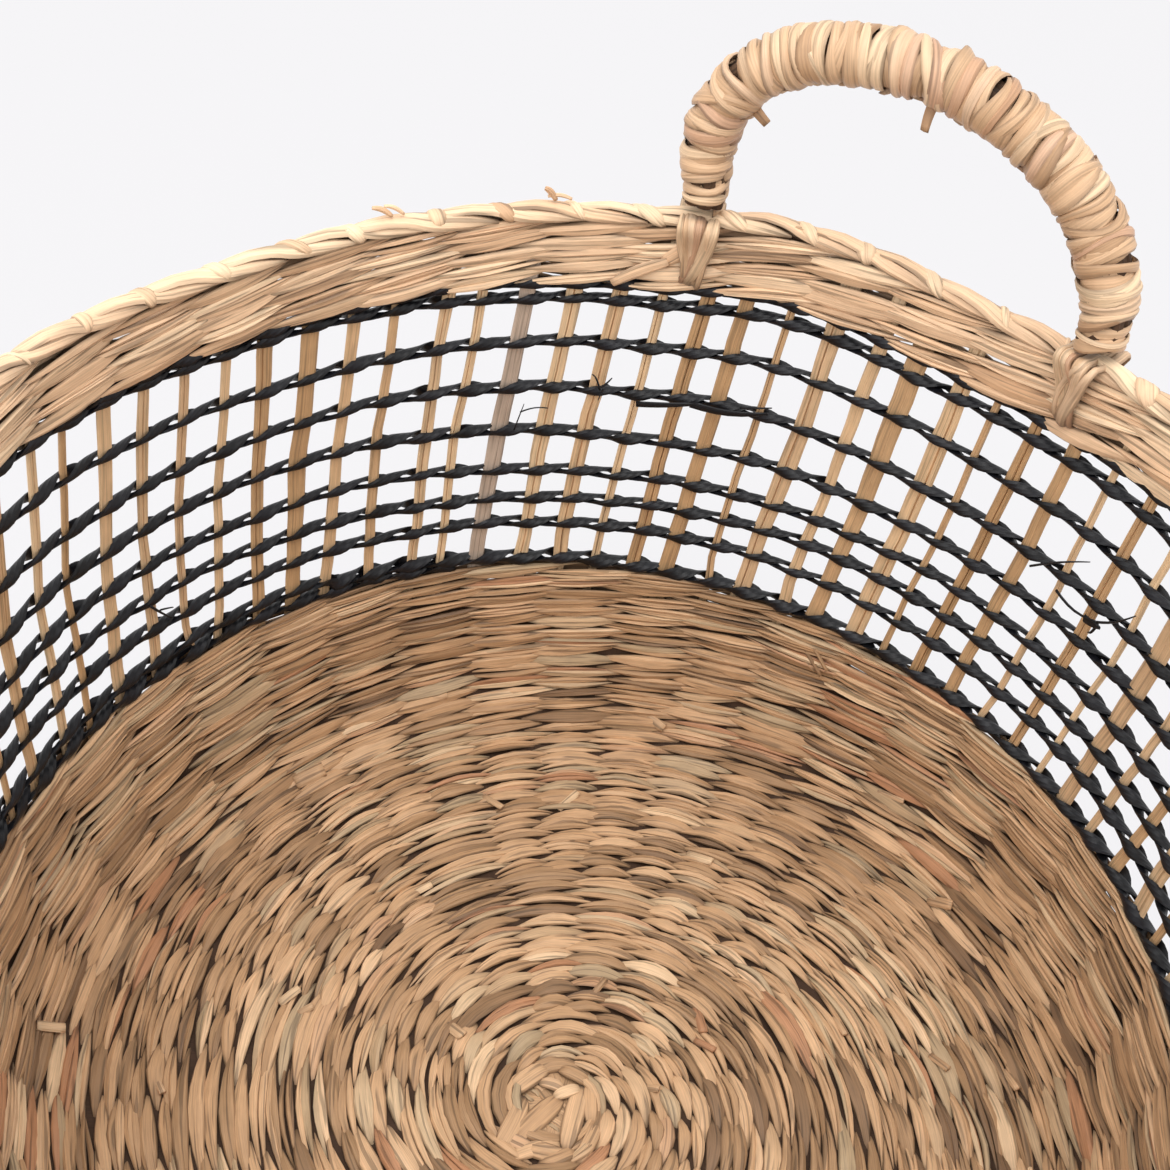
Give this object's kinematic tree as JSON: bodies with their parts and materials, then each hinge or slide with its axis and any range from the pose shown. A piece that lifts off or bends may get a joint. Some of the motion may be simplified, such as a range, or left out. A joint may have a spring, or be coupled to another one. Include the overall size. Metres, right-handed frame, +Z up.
{
  "type": "belly basket",
  "caption": "Round seagrass basket with a dense twined base, an open lattice wall held by black twined strands, a woven rim and two wrapped handles that tilt.",
  "frame": {"origin": "centre of the underside of the floor, on the surface that the basket stands on", "axes": "+Z up along the basket's axis; handle a stands over +Y, and handle b leans out over -Y"},
  "size_m": [0.3558, 0.3854, 0.2787],
  "materials": {
    "seagrass_weave": "matte twined seagrass",
    "warp_stem": "satin split reed",
    "black_strand": "dyed grass, dull sheen",
    "handle_leaf": "flattened leaf strips, satin",
    "handle_core": "bundled stems, matte"
  },
  "bodies": {
    "root": {"floor_disc": "seagrass_weave", "upsett": "seagrass_weave", "lower_wall": "seagrass_weave", "warp_01": "warp_stem", "warp_02": "warp_stem", "warp_03": "warp_stem", "warp_04": "warp_stem", "warp_05": "warp_stem", "warp_06": "warp_stem", "warp_07": "warp_stem", "warp_08": "warp_stem", "warp_09": "warp_stem", "warp_10": "warp_stem", "warp_11": "warp_stem", "warp_12": "warp_stem", "warp_13": "warp_stem", "warp_14": "warp_stem", "warp_15": "warp_stem", "warp_16": "warp_stem", "warp_17": "warp_stem", "warp_18": "warp_stem", "warp_19": "warp_stem", "warp_20": "warp_stem", "warp_21": "warp_stem", "warp_22": "warp_stem", "warp_23": "warp_stem", "warp_24": "warp_stem", "warp_25": "warp_stem", "warp_26": "warp_stem", "warp_27": "warp_stem", "warp_28": "warp_stem", "warp_29": "warp_stem", "warp_30": "warp_stem", "warp_31": "warp_stem", "warp_32": "warp_stem", "warp_33": "warp_stem", "warp_34": "warp_stem", "warp_35": "warp_stem", "warp_36": "warp_stem", "warp_37": "warp_stem", "warp_38": "warp_stem", "warp_39": "warp_stem", "warp_40": "warp_stem", "black_strand_outer": "black_strand", "black_strand_inner": "black_strand", "rim_band": "seagrass_weave", "rim_border": "seagrass_weave", "lashing_a1": "handle_leaf", "lashing_a2": "handle_leaf", "lashing_b1": "handle_leaf", "lashing_b2": "handle_leaf"},
    "handle_a": {"handle_a_core": "handle_core", "handle_a_wrap": "handle_leaf"},
    "handle_b": {"handle_b_core": "handle_core", "handle_b_wrap": "handle_leaf"}
  },
  "joints": [
    {"name": "handle_a_tilt", "type": "hinge", "parent": "root", "child": "handle_a", "pos_m": [0, 0.1609, 0.2219], "axis": [-1, 0, 0], "range_deg": [-50, 50]},
    {"name": "handle_b_tilt", "type": "hinge", "parent": "root", "child": "handle_b", "pos_m": [0, -0.1609, 0.2219], "axis": [1, 0, 0], "range_deg": [-90, 10]}
  ]
}
